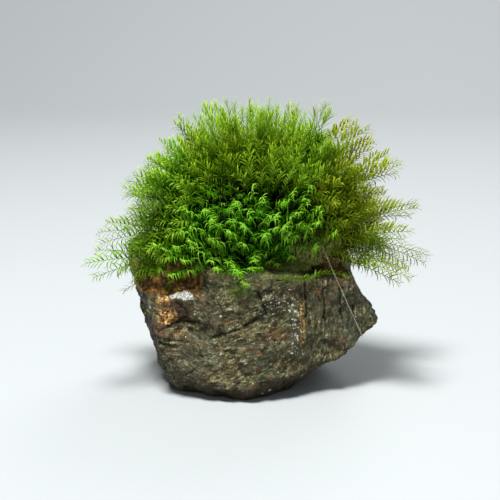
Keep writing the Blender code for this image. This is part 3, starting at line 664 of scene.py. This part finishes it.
def shoot_tree(finish):
    """Geometry Nodes for feathery shoots: every line of a mesh becomes a stem with two ranks of leaves.

    Each line's points carry its broad side, tone and size. The leaves stand wide low on the stem, lie
    forward at the growing tip, and all arch down.
    """
    tree = bpy.data.node_groups.new("feathery_shoots", "GeometryNodeTree")
    add = partial(node, tree)
    tree.interface.new_socket("Geometry", in_out="OUTPUT", socket_type="NodeSocketGeometry")
    for kind, names in SHOOT_INPUTS.items():
        for name in names:
            tree.interface.new_socket(name, in_out="INPUT", socket_type=f"NodeSocket{kind}")
    given = add("NodeGroupInput").outputs

    # Points for the leaves, gathered towards the tip
    lines = add("GeometryNodeMeshToCurve", (given["Geometry"],))
    even = add("GeometryNodeResampleCurve", {"Curve": lines, "Length": given["Leaf Spacing"]},
               mode="LENGTH")
    so_far = add("GeometryNodeSplineParameter").outputs["Factor"]
    to_go = add("ShaderNodeMath", (1.0, so_far), operation="SUBTRACT")
    to_go = add("ShaderNodeMath", (to_go, given["Tip Crowding"]), operation="POWER")
    crowded = add("ShaderNodeMath", (1.0, to_go), operation="SUBTRACT")
    own_line = add("GeometryNodeCurveOfPoint").outputs["Curve Index"]
    place = add("GeometryNodeSampleCurve", {"Curves": lines, "Factor": crowded, "Curve Index": own_line},
                mode="FACTOR").outputs["Position"]
    moved = add("GeometryNodeSetPosition", {"Geometry": even, "Position": place})
    paler = add("ShaderNodeMath", (crowded, given["Tip Brightness"]), operation="POWER")
    for label, value in (("age", crowded), ("youth", paler)):
        moved = add("GeometryNodeStoreNamedAttribute", {"Geometry": moved, "Name": label, "Value": value})
    age = add("GeometryNodeInputNamedAttribute", {"Name": "age"})
    size = add("GeometryNodeInputNamedAttribute", {"Name": "size"})
    broad = add("GeometryNodeInputNamedAttribute", {"Name": "broad"}, data_type="FLOAT_VECTOR")

    # Stems
    taper = add("ShaderNodeMapRange", (age, 0.0, 1.0, 1.0, STEM_TIP))
    tapered = add("GeometryNodeSetCurveRadius", {"Curve": moved, "Radius": taper})
    coarse = add("GeometryNodeResampleCurve", {"Curve": tapered, "Length": given["Stem Step"]},
                 mode="LENGTH")
    ring = add("GeometryNodeCurvePrimitiveCircle", {
        "Resolution": STEM_SIDES, "Radius": given["Stem Radius"]})
    stems = add("GeometryNodeCurveToMesh", {
        "Curve": coarse, "Profile Curve": ring, "Scale": taper, "Fill Caps": True})
    stems = add("GeometryNodeStoreNamedAttribute", {"Geometry": stems, "Name": "stem", "Value": 1.0})

    # Which way each leaf points
    points = add("GeometryNodeCurveToPoints", (moved,), mode="EVALUATED").outputs
    odd = add("ShaderNodeMath", (add("GeometryNodeInputIndex"), 2.0), operation="MODULO")
    side = add("ShaderNodeMath", (odd, 2.0, -1.0), operation="MULTIPLY_ADD")
    roll = add("FunctionNodeRandomValue", {
        "Min": given["Rank Below"], "Max": given["Rank Above"], "Seed": given["Seed"]})
    seeds = [add("ShaderNodeMath", (given["Seed"], more), operation="ADD")
             for more in (SPREAD_SEED, SIZE_SEED, SHAPE_SEED)]
    stray = add("FunctionNodeRandomValue", {"Min": -LEAF_STRAY, "Max": LEAF_STRAY, "Seed": seeds[0]})
    low, high = given["Leaf Spread Low"], given["Leaf Spread Tip"]
    spread = add("ShaderNodeMapRange", (age, FORWARD_FROM, 1.0, low, high))
    spread = add("ShaderNodeMath", (spread, stray), operation="ADD")
    tangent = points["Tangent"]
    across = add("ShaderNodeVectorMath", (broad, tangent), operation="CROSS_PRODUCT")
    across = add("ShaderNodeVectorMath", (across,), operation="NORMALIZE")
    flat = add("ShaderNodeVectorMath", (tangent, across), operation="CROSS_PRODUCT")
    flat = add("ShaderNodeVectorMath", (flat, side), operation="SCALE")
    leaf_way = swung(add, tangent, swung(add, flat, across, roll), spread)
    lean = add("ShaderNodeVectorMath", (tangent, (LEAF_LEAN,) * 3, UP), operation="MULTIPLY_ADD")
    turn = add("FunctionNodeAxesToRotation", (leaf_way, lean), primary_axis="X", secondary_axis="Z")

    # How large it is, and which of its shapes it has
    scale = add("ShaderNodeMapRange", (age, YOUNG_LEAVES[0], 1.0, 1.0, YOUNG_LEAVES[1]))
    old = add("ShaderNodeMapRange", (age, 0.0, *OLD_LEAVES))
    vary = add("FunctionNodeRandomValue", {"Min": LEAF_SIZES[0], "Max": LEAF_SIZES[1], "Seed": seeds[1]})
    for other in (old, vary, size):
        scale = add("ShaderNodeMath", (scale, other), operation="MULTIPLY")
    kind = add("FunctionNodeRandomValue", {"Min": 0, "Max": 2, "Seed": seeds[2]}, data_type="INT")
    leafy = add("ShaderNodeMath", (age, given["Bare Share"]), operation="GREATER_THAN")
    shapes = add("GeometryNodeCollectionInfo", {
        "Collection": given["Leaf Shapes"], "Separate Children": True, "Reset Children": True})
    leaves = add("GeometryNodeInstanceOnPoints", {
        "Points": points["Points"], "Selection": leafy, "Instance": shapes, "Pick Instance": True,
        "Instance Index": kind, "Rotation": turn, "Scale": scale})

    together = add("GeometryNodeJoinGeometry", (stems,))
    tree.links.new(leaves.outputs[0], together.inputs[0])
    real = add("GeometryNodeRealizeInstances", (together,))
    smooth = add("GeometryNodeSetShadeSmooth", (real,))
    dressed = add("GeometryNodeSetMaterial", {"Geometry": smooth, "Material": finish})
    add("NodeGroupOutput", (dressed,))
    return tree


def square_way(way):
    """The direction that the clump's face looks in where a way meets it."""
    return Vector([part / half ** 2 for part, half in zip(way, half_widths(way))]).normalized()


def spiral_way(number, count):
    """One of a count of ways spread evenly over a ball, from straight up to straight down."""
    height = 1 - 2 * (number + 0.5) / count
    across = math.sqrt(1 - height * height)
    turn = number * GOLDEN_ANGLE
    return Vector((across * math.cos(turn), across * math.sin(turn), height))


def arc(foot, elbow, tip, bend=Vector()):
    """Points along a line from the foot towards the elbow and round to the tip, moved by the bend."""
    points = []
    for number in range(STEM_POINTS):
        t = number / (STEM_POINTS - 1)
        points.append(foot.lerp(elbow, t).lerp(elbow.lerp(tip, t), t) + bend * t * t)
    return points


def stem_line(way, full, droop, sway, rise=0.0):
    """Points of one stem from the mat to its tip, bent down by its weight and a little to one side."""
    foot = CLUMP_MIDDLE + way * STEM_FOOT * reach(way)
    tip = CLUMP_MIDDLE + way * full
    length = (tip - foot).length
    elbow = tip - (way.lerp(square_way(way), SQUARE_ON) + UP * rise).normalized() * 0.5 * length
    return arc(foot, elbow, tip, (sway - UP * droop) * length)


def shoot_lines(rock):
    """Every shoot of the clump: its region, the points of its stem, its broad side, tone and size."""
    rng = random.Random(SHOOT_SEED)
    taken = {}
    lines = []
    order = list(range(SHOOT_PLACES))
    rng.shuffle(order)
    for number in order:
        way = spiral_way(number, SHOOT_PLACES)
        if way.z < LOWEST_WAY:
            continue
        place = region(way)
        skin = CLUMP_MIDDLE + way * reach(way)
        cell = tuple(int(part // SPACING_CELL) for part in skin)
        near = [other for x in (-1, 0, 1) for y in (-1, 0, 1) for z in (-1, 0, 1)
                for other in taken.get((cell[0] + x, cell[1] + y, cell[2] + z), ())]
        if any((other - skin).length < SHOOT_SPACING[place] for other in near):
            continue
        taken.setdefault(cell, []).append(skin)
        full = reach(way) * tip_share(way) * rng.uniform(*SHOOT_LENGTHS)
        sway = Vector([rng.gauss(0, SWAY[place]) for _ in range(3)])
        sway -= way * sway.dot(way)
        droop = STEM_DROOP * math.hypot(way.x, way.y) * rng.uniform(*DROOP_SHARES)
        points = laid_on(rock, stem_line(way, full, droop, sway, TIP_RISE.get(place, 0.0)))
        if not points or bare_place(points[-1]):
            continue
        # Painted shade: shoots in the hollow between the crown and the bulge are darkened
        tone = TONE[place] + rng.gauss(0, TONE_STRAY) - HOLLOW_PAINTED_SHADE * hollowness(way)
        # Painted shade: the lowest shoots, which point downwards, are darkened
        tone -= LOW_PAINTED_SHADE * between(way.z, *LOW_WAYS)
        flat = broad_side(points, way, rng.gauss(0, ROLL[place]))
        lines.append((place, points, flat, tone, rng.uniform(*SHOOT_SIZES)))
    return lines


def bare_place(tip):
    """Whether a tip would stand in front of stone that the moss leaves bare."""
    return any(all(low < part < high for low, part, high in zip(lowest, tip, highest))
               for lowest, highest in BARE_PLACES)


def broad_side(points, way, roll):
    """The way that a shoot's flat ranks of leaves spread, turned round the stem by the roll.

    Shoots that reach forwards or back spread theirs level; those at the sides and on top, up and down.
    """
    tangent = (points[-1] - points[-3]).normalized()
    flat = tangent.cross(UP if abs(way.y) > FRONT_FROM else BACKWARDS)
    flat.normalize()
    return flat * math.cos(roll) + tangent.cross(flat) * math.sin(roll)


def old_shoot_lines(rock):
    """Short dark shoots deep in the clump, under the long ones."""
    rng = random.Random(OLD_SEED)
    lines = []
    for number in range(OLD_PLACES):
        way = spiral_way(number, OLD_PLACES)
        if way.z < LOWEST_WAY:
            continue
        full = reach(way) * rng.uniform(*OLD_LENGTHS)
        sway = Vector([rng.gauss(0, OLD_SWAY) for _ in range(3)])
        points = stem_line(way, full, OLD_DROOP, sway)
        lowest = min(over_stone(rock, point)[0] for point in points[ROOTED_POINTS:])
        if lowest < OLD_HEIGHT or bare_place(points[-1]):
            continue
        flat = broad_side(points, way, rng.gauss(0, OLD_ROLL))
        tone = rng.gauss(*OLD_TONE)
        lines.append((region(way), points, flat, tone, rng.uniform(*OLD_SIZES)))
    return lines


def long_shoot_lines():
    """The shoots that stand out of the clump, a spray of fronds along each long solid."""
    rng = random.Random(LONG_SEED)
    lines = []
    for name, solid in sorted(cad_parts.items()):
        if not name.startswith("shoot_"):
            continue
        place = name.split("_")[1]
        spots = [vert.co / MM for vert in solid.data.vertices]
        spots.sort(key=lambda spot: (spot - CLUMP_MIDDLE).length)
        foot = sum(spots[:LONG_FOOT], Vector()) / LONG_FOOT
        aside, above = LONG_TIPS.get(name.removeprefix("shoot_"), (0.0, 0.0))
        run = spots[-1] + Vector((aside, 0, above)) - foot
        way = run.normalized()
        aside = way.cross(BACKWARDS).normalized()
        for turn, lift, share in SPRAY:
            tip = foot + (run + aside * turn * run.length + way.cross(aside) * lift * run.length) * share
            points = arc(foot, (foot + tip) / 2 + UP * LONG_RISE * run.length, tip)
            flat = broad_side(points, way, rng.gauss(0, LONG_ROLL))
            tone = TONE[place] + rng.gauss(0, LONG_TONE)
            lines.append((place, points, flat, tone, rng.uniform(*LONG_SIZES)))
    return lines


def creeper_line():
    """The shoot that lies along the slab's front edge, through the middle of its solid."""
    spots = [vert.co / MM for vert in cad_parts["creeping_shoot"].data.vertices]
    spots.sort(key=lambda spot: spot.x)
    share = len(spots) // STEM_POINTS
    points = [sum(spots[at * share:(at + 1) * share], Vector()) / share for at in range(STEM_POINTS)]
    return [point + CREEPER_LIFT for point in points], UP.copy(), CREEPER_TONE, CREEPER_SIZE


def region(way):
    """The part of the clump that a way points to."""
    if way.z > CROWN_FROM and way.y > CROWN_TO_FRONT:
        return "crown"
    if abs(way.y) > FRONT_FROM:
        return "front" if way.y < 0 else "back"
    return "right" if way.x > 0 else "left"


def over_stone(rock, point):
    """How high a point stands over the stone's skin, the nearest spot on it, and the way it faces there."""
    spot, facing, _, _ = rock.find_nearest(point * MM)
    return (point * MM - spot).dot(facing) / MM, spot / MM, facing


def laid_on(rock, points):
    """The stem's points, with those that run a little way into the stone brought out over its skin.

    Nothing for a stem that would have to come out too far.
    """
    laid = points[:ROOTED_POINTS]
    for point in points[ROOTED_POINTS:]:
        height, spot, facing = over_stone(rock, point)
        if height < -DRAPE_DEPTH:
            return None
        laid.append(point if height > DRAPE_HEIGHT else spot + facing * DRAPE_HEIGHT)
    return laid


def moss_piece(name, lines, tree, seed, place, leaves):
    """Grows shoots along the lines, in the habit of their place on the clump, as one mesh."""
    mesh = bpy.data.meshes.new(name)
    verts, edges, broad, tone, size = [], [], [], [], []
    for points, flat, shade, scale in lines:
        start = len(verts)
        verts += [point * MM for point in points]
        edges += [(start + step, start + step + 1) for step in range(len(points) - 1)]
        broad += [*flat] * len(points)
        tone += [shade] * len(points)
        size += [scale] * len(points)
    mesh.from_pydata(verts, edges, [])
    drift = [OLIVE_DRIFT * noise.noise(vert / (OLIVE_PATCH * MM)) for vert in verts]
    olive = [between(OLIVE[place] + more, 0.0, 1.0) for more in drift]
    store(mesh, broad=broad, tone=tone, size=size, olive=olive)
    piece = add_piece(name, mesh)
    grow = piece.modifiers.new("Shoots", "NODES")
    grow.node_group = tree
    sockets = {item.name: item.identifier for item in tree.interface.items_tree if item.in_out == "INPUT"}
    settings = {"Leaf Shapes": leaves, "Leaf Spacing": LEAF_SPACING[place] * MM,
                "Stem Radius": STEM_RADIUS[place] * MM, "Stem Step": STEM_STEP * MM, "Seed": seed,
                **dict(zip(HABITS, LEAF_HABITS[place]))}
    for label, value in settings.items():
        grow[sockets[label]] = value
    piece.data = settled(piece)
    return piece


def mat_piece(finish):
    """The lumpy mat of old stems in the middle of the clump, cut off where it lies on the stone."""
    bm = bmesh.new()
    bmesh.ops.create_icosphere(bm, subdivisions=5, radius=1)
    for vert in bm.verts:
        way = vert.co.normalized()
        lump = 1
        for height, closeness in MAT_LUMPS:
            lump += height * noise.noise(way * closeness)
        if way.y < 0 and way.x > MAT_NARROW_FROM:
            lump *= MAT_NARROW
        vert.co = CLUMP_MIDDLE + way * reach(way) * MAT_SHARE * lump
        if vert.co.x > MAT_STEP.x and vert.co.y < MAT_STEP.y:
            vert.co.z = max(vert.co.z, MAT_STEP.z)
        vert.co *= MM
    cut = bmesh.ops.bisect_plane(bm, geom=bm.verts[:] + bm.edges[:] + bm.faces[:], dist=WELD,
                                 plane_co=MAT_FLOOR * MM, plane_no=MAT_FLOOR_FACING, clear_outer=True)
    rim = [item for item in cut["geom_cut"] if isinstance(item, bmesh.types.BMEdge)]
    bmesh.ops.contextual_create(bm, geom=rim)
    bmesh.ops.recalc_face_normals(bm, faces=bm.faces[:])
    mesh = bpy.data.meshes.new("moss_mat")
    bm.to_mesh(mesh)
    bm.free()
    mesh.materials.append(finish)
    return add_piece("moss_mat", mesh)


# Stage, light and camera

def aimed(name, data, place, target):
    """A lamp or a camera in its place, turned to the target."""
    made = add_piece(name, data)
    made.location = place
    made.rotation_mode = "QUATERNION"
    made.rotation_quaternion = (target - made.location).to_track_quat("-Z", "Y")
    return made


def studio():
    """A pale floor and wall in a soft white room, two lamps and the camera."""
    scene = bpy.context.scene
    scene.view_settings.view_transform = "Standard"
    world = bpy.data.worlds.new("soft_white_room")
    scene.world = world
    world.use_nodes = True
    sky = world.node_tree.nodes["Background"]
    sky.inputs["Color"].default_value = linear("#e3eaec")
    sky.inputs["Strength"].default_value = 0.40

    profile = [(FLOOR_FRONT, 0.0), (FLOOR_BACK, 0.0)]
    for turn in [math.radians(step) for step in range(6, 91, 6)]:
        profile.append((FLOOR_BACK + CURVE_RADIUS * math.sin(turn), CURVE_RADIUS * (1 - math.cos(turn))))
    profile.append((FLOOR_BACK + CURVE_RADIUS, WALL_TOP))
    mesh = bpy.data.meshes.new("floor")
    mesh.from_pydata([(x, y, z) for y, z in profile for x in (-FLOOR_SIDE, FLOOR_SIDE)], [],
                     [(2 * row, 2 * row + 1, 2 * row + 3, 2 * row + 2) for row in range(len(profile) - 1)])
    mesh.polygons.foreach_set("use_smooth", [True] * len(mesh.polygons))
    paint, add = empty_material("floor_matt_paint")
    matt = add("ShaderNodeBsdfPrincipled", {"Base Color": linear("#a4a8a9"), "Roughness": 0.7})
    add("ShaderNodeOutputMaterial", (matt,))
    mesh.materials.append(paint)
    floor = add_piece("floor", mesh)

    for name, place, width, power in LAMPS:
        lamp = bpy.data.lights.new(name, "AREA")
        lamp.size = width
        lamp.energy = power
        aimed(name, lamp, place, LAMP_AIM)

    lens = bpy.data.cameras.new("camera")
    lens.lens = CAMERA_LENS
    lens.clip_start = 0.01
    scene.camera = aimed("camera", lens, CAMERA_PLACE, CAMERA_AIM)


studio()
schist = schist_material()
leaf_green = moss_leaf_material()
old_stems = moss_mat_material()

stone = stone_piece(schist)
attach(stone, "root")
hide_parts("stone")

rock_mesh = bmesh.new()
rock_mesh.from_mesh(stone.data)
rock = BVHTree.FromBMesh(rock_mesh)
rock_mesh.free()

mat = mat_piece(old_stems)
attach(mat, "root")
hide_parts("moss_cushion")

tree = shoot_tree(leaf_green)
feather_leaves = leaf_shapes("feather_leaf", *FEATHER_LEAF)
leaves = {"front": leaf_shapes("palm_leaf", *PALM_LEAF), "crown": leaf_shapes("crown_leaf", *CROWN_LEAF)}
by_region = {}
for place, *line in shoot_lines(rock) + old_shoot_lines(rock) + long_shoot_lines():
    by_region.setdefault(place, []).append(line)
for seed, (place, lines) in enumerate(sorted(by_region.items()), LEAF_SEED):
    shapes = leaves.get(place, feather_leaves)
    piece = moss_piece(f"moss_shoots_{place}", lines, tree, seed, place, shapes)
    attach(piece, "root")
    solids = [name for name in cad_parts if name.startswith(f"shoot_{place}_")]
    if solids:
        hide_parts(*solids)

creeper = moss_piece("creeping_frond", [creeper_line()], tree, CREEPER_SEED, "creeping", feather_leaves)
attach(creeper, "root")
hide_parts("creeping_shoot")

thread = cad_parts["binding_thread"]
for slot in thread.material_slots:
    slot.material = thread_material()
